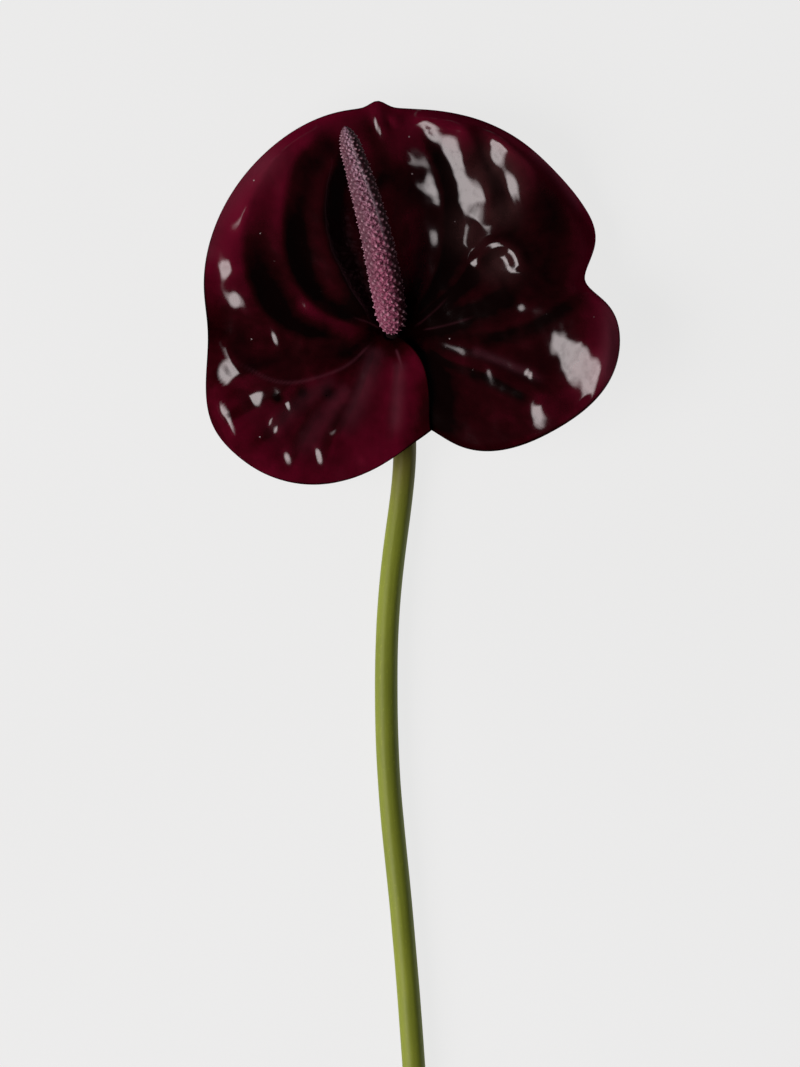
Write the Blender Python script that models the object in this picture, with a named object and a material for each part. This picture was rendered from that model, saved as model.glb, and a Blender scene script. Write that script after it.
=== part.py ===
"""An anthurium flower, cut with its stem and laid on its back on a table.

Three pieces that a florist could pull apart: the stem, the heart-shaped spathe that grows as a
collar round the stem's end, and the spadix that stands on that end, over the spathe.

Lengths below are in millimetres, in the flower's own frame: the table is Z = 0, the node where the
three pieces meet is over X = Y = 0, and the stem runs away along -Y. An empty carries the pieces
and puts the middle of the whole flower's underside on the world origin.
"""
import math

import bpy
import numpy as np

MM = 0.001

# The node: the height of its centre, and how steeply the stem's end climbs through it.
NODE_HEIGHT = 9.0
NODE_CLIMB = math.radians(39)
GAP = 0.3                                    # clearance between pieces that touch

# Stem: a round stalk that rests on the table and turns up in its last stretch.
STEM_RADIUS = 3.3
STEM_RISE_START = -14.0                      # Y where it leaves the table
STEM_SIDES = 16
STEM_STEP = 5.0                              # distance between its rings
STEM_RISE_RINGS = 6                          # rings in the stretch that turns up
STEM_CUT = -250.0                            # Y of the cut end
STEM_BEND_Y = (0, -35, -58, -80, -106, -129, -160, -193, -250)
STEM_BEND_X = (0.0, 3.3, 0.9, -1.4, -2.0, -1.2, 1.7, 4.6, 8.4)

# Spadix: a blunt finger that climbs away from the spathe in a gentle arc.
SPADIX_PATH = (                              # X, Y, Z of its centre line after the node
    (-0.5, 5.5, 13.4),
    (-2.9, 19.0, 20.4),
    (-6.2, 33.5, 26.0),
    (-10.2, 47.2, 30.4),
    (-13.8, 59.2, 33.8),
)
SPADIX_SEAT = 0.75                           # from the node's centre to the spadix's base
SPADIX_LENGTH_SHARE = (0.0, 0.1, 0.3, 0.55, 0.8, 0.93, 1.0)
SPADIX_RADIUS = (3.5, 4.5, 4.8, 4.7, 3.8, 2.7, 1.8)
SPADIX_SIDES = 14
SPADIX_RINGS = 20
END_ROUNDING = 2.4                           # length of each rounded end
END_FLAT = 0.14                              # what is left of the radius at the very ends

# Spathe: the blade is lofted from radial profiles. Each row gives, for one direction round the
# node, how far the blade reaches, how high it swells, where that swell is as a share of the
# reach, the height of the brow where the margin begins to roll over, how wide the roll is, and
# how high the rim is.
SPATHE_PROFILES = (
    # angle, reach, swell, share, brow, roll, rim
    (-92, 26.0, 11.4, 0.70, 11.2, 3.0, 11.0),      # hidden inner margin of the right lobe
    (-78, 27.0, 12.2, 0.70, 12.1, 3.0, 12.0),
    (-68, 30.2, 12.8, 0.70, 12.8, 3.0, 12.7),      # the notch between the lobes
    (-60, 37.2, 13.3, 0.70, 13.3, 3.0, 13.2),
    (-50, 44.4, 14.3, 0.72, 14.5, 3.0, 14.4),
    (-30, 55.0, 15.8, 0.72, 18.0, 7.0, 18.6),
    (-12, 64.3, 17.0, 0.72, 20.5, 8.0, 21.5),
    (-1, 65.8, 17.5, 0.72, 20.0, 8.0, 20.5),
    (8, 62.9, 17.0, 0.72, 18.0, 7.0, 17.0),
    (16, 58.1, 16.0, 0.68, 15.0, 5.0, 11.5),       # dent in the right margin
    (24, 64.2, 15.0, 0.66, 11.8, 2.6, 8.0),
    (33, 67.0, 14.2, 0.72, 9.2, 2.4, 3.0),
    (45, 67.2, 14.4, 0.74, 7.8, 2.3, 0.4),         # rests on the table
    (58, 67.6, 14.8, 0.84, 11.4, 1.8, 8.0),
    (73, 67.0, 14.4, 0.86, 12.4, 2.6, 10.8),
    (87, 66.0, 13.8, 0.86, 12.6, 3.0, 11.2),
    (105, 66.8, 14.0, 0.84, 12.8, 3.0, 11.4),
    (122, 65.2, 14.4, 0.80, 13.0, 4.0, 11.2),
    (150, 60.4, 13.0, 0.74, 14.0, 3.0, 14.0),
    (166, 56.8, 12.1, 0.70, 13.2, 3.0, 13.1),
    (177, 54.2, 11.4, 0.66, 12.7, 2.5, 12.4),
    (186, 54.4, 10.7, 0.64, 12.2, 2.5, 10.2),
    (195, 56.4, 9.9, 0.62, 11.0, 2.4, 5.2),
    (206, 58.6, 9.5, 0.62, 9.2, 2.4, 0.0),         # rests on the table
    (217, 57.4, 9.8, 0.62, 10.4, 2.3, 4.6),
    (228, 54.8, 10.6, 0.62, 11.3, 2.4, 9.2),
    (240, 50.4, 11.7, 0.64, 12.0, 3.0, 11.8),
    (265, 38.2, 13.2, 0.70, 12.8, 4.0, 11.6),
    (281, 32.3, 13.4, 0.70, 13.2, 3.0, 12.6),
    (292, 30.2, 13.3, 0.70, 13.2, 3.0, 13.0),      # free inner margin of the left lobe
)
BLADE_THICKNESS = 0.9
COLLAR_RADIUS = 4.2                          # middle of the blade where it rings the stem's end
COLLAR_SLOPE = 0.1                           # how steeply the blade leaves the collar
COLLAR_LENGTH = 0.16                         # share of the reach over which it does
MID_CLIMB = 0.38                             # share of the climb made half way to the swell
APEX_ANGLE = 93.8
APEX_LENGTH = 2.0                            # small drawn-out point at the top
APEX_HALF_ANGLE = 2.6
SPATHE_COLUMNS = 150
SPATHE_ROWS = 20

# The left lobe's inner margin is folded over the right lobe's. Near the node each margin swings
# past the notch direction, and the two are held apart in height.
LEFT_SWING = 50.0                            # degrees, at the collar
LEFT_SWING_FROM = 245.0
RIGHT_SWING = 32.0
RIGHT_SWING_FROM = -28.0
SWING_POWER = 1.5                            # how quickly the swing dies away outwards
LEFT_LIFT_COLLAR = 2.3
LEFT_LIFT_RIM = 0.8
LIFT_SPREAD = 41.0                           # degrees over which the lift fades from its margin
RIGHT_DROP = 2.6
DROP_SPREAD = 27.0
DROP_FADE = 0.2                              # share of the blade over which the drop sets in

# Folds that run out from the node on the blade's upper side, like deep pleats. Each has a
# height, a width to the left and to the right of its crest as seen from the node, the share of
# its length over which it grows, and the X, Y points that its crest passes through.
FOLDS = (
    (1.2, 7.5, 3.8, 0.2, ((3.5, 2.5), (9, 12), (13.6, 22.5), (14.6, 33), (14, 42), (10.5, 51.5), (5, 60))),
    (3.9, 9.6, 4.2, 0.3, ((26, 29), (28, 37), (27, 45), (22.3, 55), (16.5, 62.3), (11.5, 66), (7, 69))),
    (4.4, 6.5, 15.0, 0.5, ((40, 26), (41, 37), (38.5, 47), (33, 55), (27, 60.5), (19, 65))),
    (2.4, 7.0, 4.6, 0.1, ((-5, 2.5), (-12, 12), (-19.5, 27), (-20.8, 38), (-18.5, 48), (-14.5, 56))),
    (2.4, 10.0, 5.6, 0.1, ((-8, 1.5), (-24, 8.5), (-31, 21), (-32.6, 36), (-28, 51), (-18.5, 62))),
    (2.0, 18.0, 6.5, 0.1, ((-12, -1.5), (-31, 0.5), (-43, 16), (-44.4, 30), (-38, 48), (-27, 60))),
    (1.8, 4.0, 5.5, 0.1, ((-9, -4), (-22, -13.5), (-34, -14), (-46, -7.5), (-51, 1))),
)
FOLD_FULL_FROM = 26.0                        # folds grow to their full size at this distance
FOLD_LEAST = 0.1                             # their share of full size at the collar
FOLD_CREST_ROUNDING = 1.1
FOLD_FOOT_SOFTNESS = 0.12
FOLD_LAST = 0.88                             # share of its length where a fold begins to die away
FOLD_STEPS = 30
CALM_MARGIN = 3.5                            # folds die away this close to the rim
CALM_MARGIN_LEFT = 8.0                       # and this close to it on the left
CALM_TURN = (115.0, 145.0)                   # directions between which one passes into the other
UPRIGHT_MARGIN = (2.0, 12.0)                 # this near the rim folds rise straight up instead


def clear_scene():
    for thing in list(bpy.data.objects):
        bpy.data.objects.remove(thing, do_unlink=True)


def material(name, colour, roughness):
    """A plain shaded material. The colour is linear red, green, blue."""
    made = bpy.data.materials.new(name)
    made.use_nodes = True
    shader = made.node_tree.nodes["Principled BSDF"]
    shader.inputs["Base Color"].default_value = (*colour, 1.0)
    shader.inputs["Roughness"].default_value = roughness
    shader.inputs["Metallic"].default_value = 0.0
    made.diffuse_color = (*colour, 1.0)
    return made


def spline(knots, values, places):
    """Natural cubic spline through (knots, values), read at the given places."""
    knots = np.asarray(knots, float)
    values = np.asarray(values, float)
    gap = np.diff(knots)
    rise = np.diff(values) / gap
    count = len(knots)
    system = np.eye(count)
    pull = np.zeros(count)
    for i in range(1, count - 1):
        system[i, i - 1:i + 2] = gap[i - 1], 2 * (gap[i - 1] + gap[i]), gap[i]
        pull[i] = 6 * (rise[i] - rise[i - 1])
    bend = np.linalg.solve(system, pull)
    cell = np.clip(np.searchsorted(knots, places) - 1, 0, count - 2)
    far = (places - knots[cell]) / gap[cell]
    near = 1 - far
    line = near * values[cell] + far * values[cell + 1]
    bow = (near ** 3 - near) * bend[cell] + (far ** 3 - far) * bend[cell + 1]
    return line + bow * gap[cell] ** 2 / 6


def smooth_step(low, high, value):
    share = np.clip((value - low) / (high - low), 0, 1)
    return share * share * (3 - 2 * share)


def basis(t, count, degree=3):
    """Clamped B-spline weights, one column for each of count control points."""
    inner = np.linspace(0, 1, count - degree + 1)
    knots = np.concatenate([np.zeros(degree), inner, np.ones(degree)])
    t = np.clip(np.asarray(t, float), 0, 1 - 1e-12)[:, None]
    weights = ((t >= knots[:-1]) & (t < knots[1:])).astype(float)
    for step in range(1, degree + 1):
        width_left = knots[step:-1] - knots[:-step - 1]
        width_right = knots[step + 1:] - knots[1:-step]
        left = np.divide(t - knots[:-step - 1], width_left,
                         out=np.zeros((len(t), len(width_left))), where=width_left > 0)
        right = np.divide(knots[step + 1:] - t, width_right,
                          out=np.zeros((len(t), len(width_right))), where=width_right > 0)
        weights = left * weights[:, :-1] + right * weights[:, 1:]
    return weights


def blade_points(angles, shares):
    """The blade's middle surface: an array of points, one row for each share from collar to rim."""
    table = np.array(SPATHE_PROFILES, float)
    columns = [spline(table[:, 0], table[:, i], angles) for i in range(1, table.shape[1])]
    reach, swell, swell_share, brow, roll, rim = columns
    apex = np.exp(-((angles - APEX_ANGLE) / APEX_HALF_ANGLE) ** 2)
    reach = reach + APEX_LENGTH * apex - BLADE_THICKNESS / 2

    turn = np.radians(angles)
    collar = COLLAR_RADIUS * (1 - (1 - math.sin(NODE_CLIMB)) * np.sin(turn) ** 2)
    collar_height = NODE_HEIGHT - COLLAR_RADIUS * math.cos(NODE_CLIMB) * np.sin(turn)
    shoulder = swell_share * reach
    first = collar + COLLAR_LENGTH * reach
    edge = reach - roll
    across = np.stack([
        collar,
        first,
        (first + shoulder) / 2,
        shoulder,
        (shoulder + edge) / 2,
        edge,
        reach,
    ])
    upward = np.stack([
        collar_height,
        collar_height + COLLAR_SLOPE * (first - collar),
        collar_height + MID_CLIMB * (swell - collar_height),
        swell,
        (swell + brow) / 2,
        brow,
        rim,
    ])
    weights = basis(shares, len(across))
    radius = weights @ across
    height = weights @ upward

    left = LEFT_SWING * smooth_step(LEFT_SWING_FROM, angles[-1], angles)
    right = RIGHT_SWING * smooth_step(RIGHT_SWING_FROM, angles[0], angles)
    inward = np.clip((reach - radius) / (reach - collar), 0, 1)
    direction = np.radians(angles + (left + right) * inward ** SWING_POWER)

    share = shares[:, None]
    lift = LEFT_LIFT_RIM + (LEFT_LIFT_COLLAR - LEFT_LIFT_RIM) * (1 - share) ** 2
    drop = RIGHT_DROP * smooth_step(0, DROP_FADE, share)
    height = height + lift * smooth_step(angles[-1] - LIFT_SPREAD, angles[-1], angles)
    height = height - drop * smooth_step(angles[0] + DROP_SPREAD, angles[0], angles)
    return np.stack([radius * np.cos(direction), radius * np.sin(direction), height], axis=-1)


def crest_line(stops):
    """Evenly spaced points on a smooth curve through the given points of a crest."""
    stops = np.array(stops, float)
    lengths = np.concatenate([[0], np.cumsum(np.linalg.norm(np.diff(stops, axis=0), axis=1))])
    places = np.linspace(0, lengths[-1], FOLD_STEPS)
    return np.stack([spline(lengths, stops[:, i], places) for i in range(2)], axis=-1)


def nearest_on(line, places):
    """For each place: how far it is to the line's right (minus: left), and the share along it."""
    nearest = np.full(places.shape[:-1], np.inf)
    to_right = np.zeros(places.shape[:-1])
    along = np.zeros(places.shape[:-1])
    for i in range(len(line) - 1):
        run = line[i + 1] - line[i]
        offset = places - line[i]
        t = np.clip((offset @ run) / (run @ run), 0, 1)
        gap = np.linalg.norm(offset - t[..., None] * run, axis=-1)
        is_right = run[1] * offset[..., 0] > run[0] * offset[..., 1]
        closer = gap < nearest
        nearest = np.where(closer, gap, nearest)
        to_right = np.where(closer, np.where(is_right, gap, -gap), to_right)
        along = np.where(closer, (i + t) / (len(line) - 1), along)
    return to_right, along


def fold_relief(places):
    """Height that the folds add over each X, Y place: tents with soft feet and rounded crests."""
    relief = np.zeros(places.shape[:-1])
    from_node = np.linalg.norm(places, axis=-1)
    size = np.clip(from_node / FOLD_FULL_FROM, FOLD_LEAST, 1)
    for height, left_width, right_width, grown, stops in FOLDS:
        to_right, along = nearest_on(crest_line(stops), places)
        width = np.where(to_right < 0, left_width, right_width) * size
        away = np.sqrt(to_right ** 2 + FOLD_CREST_ROUNDING ** 2) - FOLD_CREST_ROUNDING
        slant = 1 - away / width
        tent = slant + np.sqrt(slant ** 2 + FOLD_FOOT_SOFTNESS)
        tent = tent / (1 + math.sqrt(1 + FOLD_FOOT_SOFTNESS))
        grow = smooth_step(0, grown, along) * smooth_step(1, FOLD_LAST, along)
        relief = relief + height * size * grow * tent
    return relief


def folded(points, angles):
    """The smooth blade with its folds, which rise square to it, but straight up by the rim."""
    steps = np.linalg.norm(np.diff(points, axis=0), axis=-1)
    to_rim = np.cumsum(steps[::-1], axis=0)[::-1]
    to_rim = np.concatenate([to_rim, np.zeros((1, points.shape[1]))])
    square = np.cross(np.gradient(points, axis=0), np.gradient(points, axis=1))
    square /= np.linalg.norm(square, axis=-1, keepdims=True)
    to_left = smooth_step(*CALM_TURN, angles)
    margin = CALM_MARGIN + (CALM_MARGIN_LEFT - CALM_MARGIN) * to_left
    relief = fold_relief(points[..., :2]) * smooth_step(0, 1, to_rim / margin)
    offset = square * relief[..., None]
    offset[..., :2] *= smooth_step(*UPRIGHT_MARGIN, to_rim)[..., None]
    return points + offset


def new_object(name, points, faces, look, holder):
    mesh = bpy.data.meshes.new(name)
    mesh.from_pydata([tuple(point) for point in np.asarray(points) * MM], [], faces)
    mesh.validate()
    made = bpy.data.objects.new(name, mesh)
    bpy.context.collection.objects.link(made)
    made.data.materials.append(look)
    made.data.shade_smooth()
    made.parent = holder
    return made


def spathe(holder):
    """The blade as one thin sheet, thickened evenly to both sides of its middle surface."""
    angles = np.linspace(SPATHE_PROFILES[0][0], SPATHE_PROFILES[-1][0], SPATHE_COLUMNS + 1)
    shares = np.linspace(0, 1, SPATHE_ROWS)
    points = folded(blade_points(angles, shares), angles).reshape(-1, 3)
    across = SPATHE_COLUMNS + 1
    faces = []
    for row in range(SPATHE_ROWS - 1):
        for column in range(SPATHE_COLUMNS):
            corner = row * across + column
            faces.append((corner, corner + across, corner + across + 1, corner + 1))
    look = material("spathe_wax", (0.090, 0.003, 0.018), 0.18)
    made = new_object("spathe", points, faces, look, holder)
    thicken = made.modifiers.new("blade thickness", "SOLIDIFY")
    thicken.thickness = BLADE_THICKNESS * MM
    thicken.offset = 0
    thicken.use_even_offset = False
    return made


def tube(name, centres, radii, sides, look, holder):
    """A solid of round rings along a line of centres, closed by a flat or small cap at each end."""
    centres = np.asarray(centres, float)
    along = np.gradient(centres, axis=0)
    along /= np.linalg.norm(along, axis=1)[:, None]
    sideways = np.cross(along, (0, 0, 1))
    sideways /= np.linalg.norm(sideways, axis=1)[:, None]
    upward = np.cross(sideways, along)
    turn = np.linspace(0, 2 * math.pi, sides, endpoint=False)[None, :, None]
    rings = centres[:, None] + np.asarray(radii)[:, None, None] * (
        np.cos(turn) * sideways[:, None] + np.sin(turn) * upward[:, None])
    faces = [tuple(range(sides))]
    for ring in range(len(centres) - 1):
        for side in range(sides):
            here = ring * sides + side
            there = ring * sides + (side + 1) % sides
            faces.append((here, here + sides, there + sides, there))
    last = (len(centres) - 1) * sides
    faces.append(tuple(reversed(range(last, last + sides))))
    return new_object(name, rings.reshape(-1, 3), faces, look, holder)


def node_axis():
    """Unit direction in which the stem's end and the spadix's base climb."""
    return np.array([0, math.cos(NODE_CLIMB), math.sin(NODE_CLIMB)])


def stem(holder):
    """Round stalk: on the table to the rise, then up to the node with a smooth turn."""
    lift = NODE_HEIGHT - STEM_RADIUS
    rise = -STEM_RISE_START
    count = round(-STEM_CUT / STEM_STEP)
    lying = np.linspace(STEM_CUT, STEM_RISE_START, count)
    climbing = np.linspace(STEM_RISE_START, 0, STEM_RISE_RINGS + 1)[1:]
    y = np.concatenate([lying, climbing])
    x = spline(STEM_BEND_Y[::-1], STEM_BEND_X[::-1], y)
    z = STEM_RADIUS + lift * np.clip((y + rise) / rise, 0, 1) ** 2
    centres = np.stack([x, y, z], axis=-1)
    centres[-1] = (0, 0, NODE_HEIGHT)
    centres = np.concatenate([centres, [centres[-1] + GAP * node_axis()]])
    look = material("stem_green", (0.150, 0.175, 0.035), 0.35)
    return tube("stem", centres, np.full(len(centres), STEM_RADIUS), STEM_SIDES, look, holder)


def spadix_line(shares):
    """Points on the spadix's centre line, from its seat on the stem's end to its tip."""
    seat = np.array([0, 0, NODE_HEIGHT]) + SPADIX_SEAT * node_axis()
    stops = np.concatenate([[seat], np.array(SPADIX_PATH)])
    lengths = np.concatenate([[0], np.cumsum(np.linalg.norm(np.diff(stops, axis=0), axis=1))])
    places = np.asarray(shares) * lengths[-1]
    return np.stack([spline(lengths, stops[:, i], places) for i in range(3)], axis=-1), lengths[-1]


def spadix(holder):
    """Finger that swells from its seat and tapers to a blunt tip, with both ends rounded."""
    shares = (1 - np.cos(np.linspace(0, math.pi, SPADIX_RINGS))) / 2
    centres, length = spadix_line(shares)
    radii = spline(SPADIX_LENGTH_SHARE, SPADIX_RADIUS, shares)
    to_end = np.minimum(shares, 1 - shares) * length / END_ROUNDING
    rounding = np.sqrt(1 - (1 - np.clip(to_end, 0, 1)) ** 2)
    rounding = np.maximum(rounding, END_FLAT)
    look = material("spadix_mauve", (0.190, 0.055, 0.085), 0.6)
    return tube("spadix", centres, radii * rounding, SPADIX_SIDES, look, holder)


def stand_on_origin(holder, pieces):
    """Shift the flower so that the middle of its box's underside is the world origin."""
    bpy.context.view_layer.update()
    view = bpy.context.evaluated_depsgraph_get()
    corners = []
    for piece in pieces:
        shape = piece.evaluated_get(view)
        corners += [shape.matrix_world @ vertex.co for vertex in shape.data.vertices]
    corners = np.array([tuple(corner) for corner in corners])
    low = corners.min(axis=0)
    high = corners.max(axis=0)
    holder.location = (-(low[0] + high[0]) / 2, -(low[1] + high[1]) / 2, -low[2])


def build():
    clear_scene()
    holder = bpy.data.objects.new("flower", None)
    bpy.context.collection.objects.link(holder)
    pieces = [stem(holder), spathe(holder), spadix(holder)]
    stand_on_origin(holder, pieces)


build()
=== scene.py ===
import math
import bpy
import numpy as np
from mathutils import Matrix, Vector, noise


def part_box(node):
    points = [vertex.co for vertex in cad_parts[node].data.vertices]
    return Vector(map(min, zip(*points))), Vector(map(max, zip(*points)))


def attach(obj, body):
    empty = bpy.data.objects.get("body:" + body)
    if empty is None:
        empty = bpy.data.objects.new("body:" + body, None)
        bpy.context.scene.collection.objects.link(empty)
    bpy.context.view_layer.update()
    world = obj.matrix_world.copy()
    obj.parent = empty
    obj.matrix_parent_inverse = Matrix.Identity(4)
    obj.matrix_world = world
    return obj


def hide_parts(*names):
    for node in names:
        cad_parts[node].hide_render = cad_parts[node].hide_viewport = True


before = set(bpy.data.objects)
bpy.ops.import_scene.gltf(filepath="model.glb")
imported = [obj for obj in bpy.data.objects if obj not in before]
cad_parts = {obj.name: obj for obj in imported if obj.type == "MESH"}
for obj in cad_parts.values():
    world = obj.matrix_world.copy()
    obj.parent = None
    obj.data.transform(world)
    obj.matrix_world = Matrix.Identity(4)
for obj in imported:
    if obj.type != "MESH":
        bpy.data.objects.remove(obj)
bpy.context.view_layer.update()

# All flower sizes below are millimetres in the flower's own frame: the node, where stem, spathe
# and spadix meet, is over x = y = 0, the table is z = 0 and the stem runs away along -y.
mm = 0.001


# small helpers for numbers

def spline(knots, values, places):
    # natural cubic spline through the knots, read at the places
    knots, values = np.asarray(knots, float), np.asarray(values, float)
    gap = np.diff(knots)
    rise = np.diff(values) / gap
    count = len(knots)
    system, pull = np.eye(count), np.zeros(count)
    for i in range(1, count - 1):
        system[i, i - 1:i + 2] = gap[i - 1], 2 * (gap[i - 1] + gap[i]), gap[i]
        pull[i] = 6 * (rise[i] - rise[i - 1])
    bend = np.linalg.solve(system, pull)
    cell = np.clip(np.searchsorted(knots, places) - 1, 0, count - 2)
    far = (places - knots[cell]) / gap[cell]
    near = 1 - far
    bow = (near ** 3 - near) * bend[cell] + (far ** 3 - far) * bend[cell + 1]
    return near * values[cell] + far * values[cell + 1] + bow * gap[cell] ** 2 / 6


def smoothStep(low, high, value):
    share = np.clip((value - low) / (high - low), 0, 1)
    return share * share * (3 - 2 * share)


def unit(vectors):
    return vectors / np.maximum(np.linalg.norm(vectors, axis=-1, keepdims=True), 1e-9)


def runningLength(points):
    # length along a line of points, from its first one to each of them
    return np.concatenate([[0], np.cumsum(np.linalg.norm(np.diff(points, axis=0), axis=1))])


def curveThrough(points, count):
    # points on a smooth curve through the given ones
    points = np.asarray(points, float)
    lengths = runningLength(points)
    places = np.linspace(0, lengths[-1], count)
    columns = [spline(lengths, column, places) for column in points.T]
    return np.stack(columns, axis=-1)


def cloud(points, size, seed):
    # soft noise between about -1 and 1, one value a point; size is the width of its lumps
    shape = points.shape[:-1]
    flat = points.reshape(-1, points.shape[-1]) / size
    values = [noise.noise(Vector((p[0] + seed, p[1] - seed, p[2] + 0.37 * seed))) for p in flat]
    return np.array(values).reshape(shape)


# materials

class Sock:
    # an output socket that can be used in plain maths
    def __init__(self, paint, socket):
        self.paint = paint
        self.socket = socket

    def maths(self, operation, first, second):
        return self.paint.add("ShaderNodeMath", {"operation": operation}, {0: first, 1: second})

    def __add__(self, other):
        return self.maths("ADD", self, other)

    def __radd__(self, other):
        return self.maths("ADD", other, self)

    def __sub__(self, other):
        return self.maths("SUBTRACT", self, other)

    def __rsub__(self, other):
        return self.maths("SUBTRACT", other, self)

    def __mul__(self, other):
        return self.maths("MULTIPLY", self, other)

    def __rmul__(self, other):
        return self.maths("MULTIPLY", other, self)

    def clipped(self):
        return self.paint.add("ShaderNodeClamp", {}, {"Value": self})


class Paint:
    # the nodes of a material or world; add() makes any node from its type, settings and values
    def __init__(self, owner):
        owner.use_nodes = True
        self.owner = owner
        self.nodes = owner.node_tree.nodes
        self.links = owner.node_tree.links
        self.nodes.clear()

    def add(self, kind, settings, sockets, out=0):
        made = self.nodes.new(kind)
        for name, value in settings.items():
            if name == "stops":
                self.setStops(made.color_ramp, value)
            else:
                setattr(made, name, value)
        for key, value in sockets.items():
            if isinstance(value, Sock):
                self.links.new(value.socket, made.inputs[key])
            else:
                made.inputs[key].default_value = value
        return Sock(self, made.outputs[out] if made.outputs else None)

    def setStops(self, ramp, stops):
        while len(ramp.elements) < len(stops):
            ramp.elements.new(1.0)
        for element, (place, colour) in zip(ramp.elements, stops):
            element.position = place
            element.color = colour

    def named(self, name, out="Fac"):
        return self.add("ShaderNodeAttribute", {"attribute_name": name}, {}, out)

    def blend(self, share, low, high):
        # on this node, 6 and 7 are the two colours going in and 2 is the one coming out
        sockets = {0: share, 6: opaque(low), 7: opaque(high)}
        return self.add("ShaderNodeMix", {"data_type": "RGBA"}, sockets, 2)

    def ramp(self, value, *stops):
        # value between the stops, each (place, height)
        grey = [(place, (height, height, height, 1)) for place, height in stops]
        made = self.add("ShaderNodeValToRGB", {"stops": grey}, {"Fac": value})
        return self.add("ShaderNodeSeparateColor", {}, {"Color": made})

    def grain(self, where, scale, detail, roughness):
        sockets = {"Vector": where, "Scale": scale, "Detail": detail, "Roughness": roughness}
        return self.add("ShaderNodeTexNoise", {}, sockets)

    def stretched(self, where, x, y, z):
        settings = {"operation": "MULTIPLY"}
        return self.add("ShaderNodeVectorMath", settings, {0: where, 1: (x, y, z)})

    def bump(self, height, distance, strength):
        sockets = {"Height": height, "Distance": distance, "Strength": strength}
        return self.add("ShaderNodeBump", {}, sockets)

    def finish(self, sockets):
        shader = self.add("ShaderNodeBsdfPrincipled", {}, sockets)
        self.add("ShaderNodeOutputMaterial", {}, {"Surface": shader})
        return self.owner


def opaque(colour):
    return colour if isinstance(colour, Sock) else (*colour, 1.0)


# meshes

def meshPiece(name, points, faces, paint, marks):
    # points in millimetres in the flower's frame; marks are named values, one a point
    mesh = bpy.data.meshes.new(name)
    mesh.from_pydata((np.asarray(points) * mm + home).tolist(), [], faces)
    for key, values in marks.items():
        values = np.asarray(values, np.float32)
        kind, field = ("FLOAT", "value") if values.ndim == 1 else ("FLOAT_VECTOR", "vector")
        mesh.attributes.new(key, kind, "POINT").data.foreach_set(field, values.ravel())
    mesh.materials.append(paint)
    mesh.shade_smooth()
    piece = bpy.data.objects.new(name, mesh)
    bpy.context.collection.objects.link(piece)
    return piece


def tubeRings(centres, radii, sides):
    # rings of points square to a line of centres, with one radius a ring or one a point
    along = unit(np.gradient(centres, axis=0))
    sideways = unit(np.cross(along, (0, 0, 1)))
    upward = np.cross(sideways, along)
    turn = np.linspace(0, 2 * math.pi, sides, endpoint=False)[None, :, None]
    spokes = np.cos(turn) * sideways[:, None] + np.sin(turn) * upward[:, None]
    radii = np.asarray(radii, float).reshape(len(centres), -1)
    return centres[:, None] + radii[..., None] * spokes


def tubeFaces(rings, sides):
    # quads between rings, and fans to one point before the first ring and one after the last
    faces = []
    for ring in range(rings - 1):
        for side in range(sides):
            here, there = ring * sides + side, ring * sides + (side + 1) % sides
            faces.append((here, here + sides, there + sides, there))
    start, end = rings * sides, rings * sides + 1
    last = (rings - 1) * sides
    for side in range(sides):
        after = (side + 1) % sides
        faces.append((start, side, after))
        faces.append((end, last + after, last + side))
    return faces


# the stem

stemShape = {
    "radius": 3.3,
    "nodeHeight": 9.0,
    "riseStart": -14.0,           # y where it leaves the table
    "cut": -250.0,
    "top": 1.0,                   # it runs on through the node into the spadix
    "bendY": (0, -35, -58, -80, -106, -129, -160, -193, -250),
    "bendX": (0.0, 3.3, 0.9, -1.4, -2.0, -1.2, 1.7, 4.6, 8.4),
    "sides": 44,
    "step": 1.2,                  # from ring to ring
    "ridges": 7,                  # faint flutes round it
    "ridgeDepth": 0.035,
    "lump": 0.07,                 # how far its skin wanders, and over what length
    "lumpSize": 16,
    "neckIn": 1.2,                # how much thinner it is at the node
    "neckFrom": -7,               # y where that begins
    "cutRound": 0.04,             # the cut edge is rounded off by this share of the radius
    "cutRings": (0.55, 0.9),      # rings on the cut face, as shares of the radius
    "cutPale": 0.5,               # how far up the skin the cut's colour reaches
    "brown": (-60, -30),          # y over which it darkens under the spathe with a painted shadow, and how much
    "spatheShadowShare": 0.85,
    "seat": (-9, -4),             # y over which it turns to painted shade in the hollow where the spathe grows out
}


def stemLine(count):
    shape = stemShape
    y = np.linspace(shape["cut"], shape["top"], count)
    x = spline(shape["bendY"][::-1], shape["bendX"][::-1], y)
    rise = -shape["riseStart"]
    lift = shape["nodeHeight"] - shape["radius"]
    z = shape["radius"] + lift * np.maximum((y + rise) / rise, 0) ** 2
    return np.stack([x, y, z], axis=-1)


def findHome():
    # where the flower's own origin lies in the frame, from the stem's box
    low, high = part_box("stem")
    line = stemLine(400)
    radius = stemShape["radius"]
    left, right = line[:, 0].min() - radius, line[:, 0].max() + radius
    x = (low.x + high.x) / 2 - (left + right) / 2 * mm
    return np.array([x, low.y - stemShape["cut"] * mm, 0.0])


home = findHome()
print("flower's own origin at", home.round(5))


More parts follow.
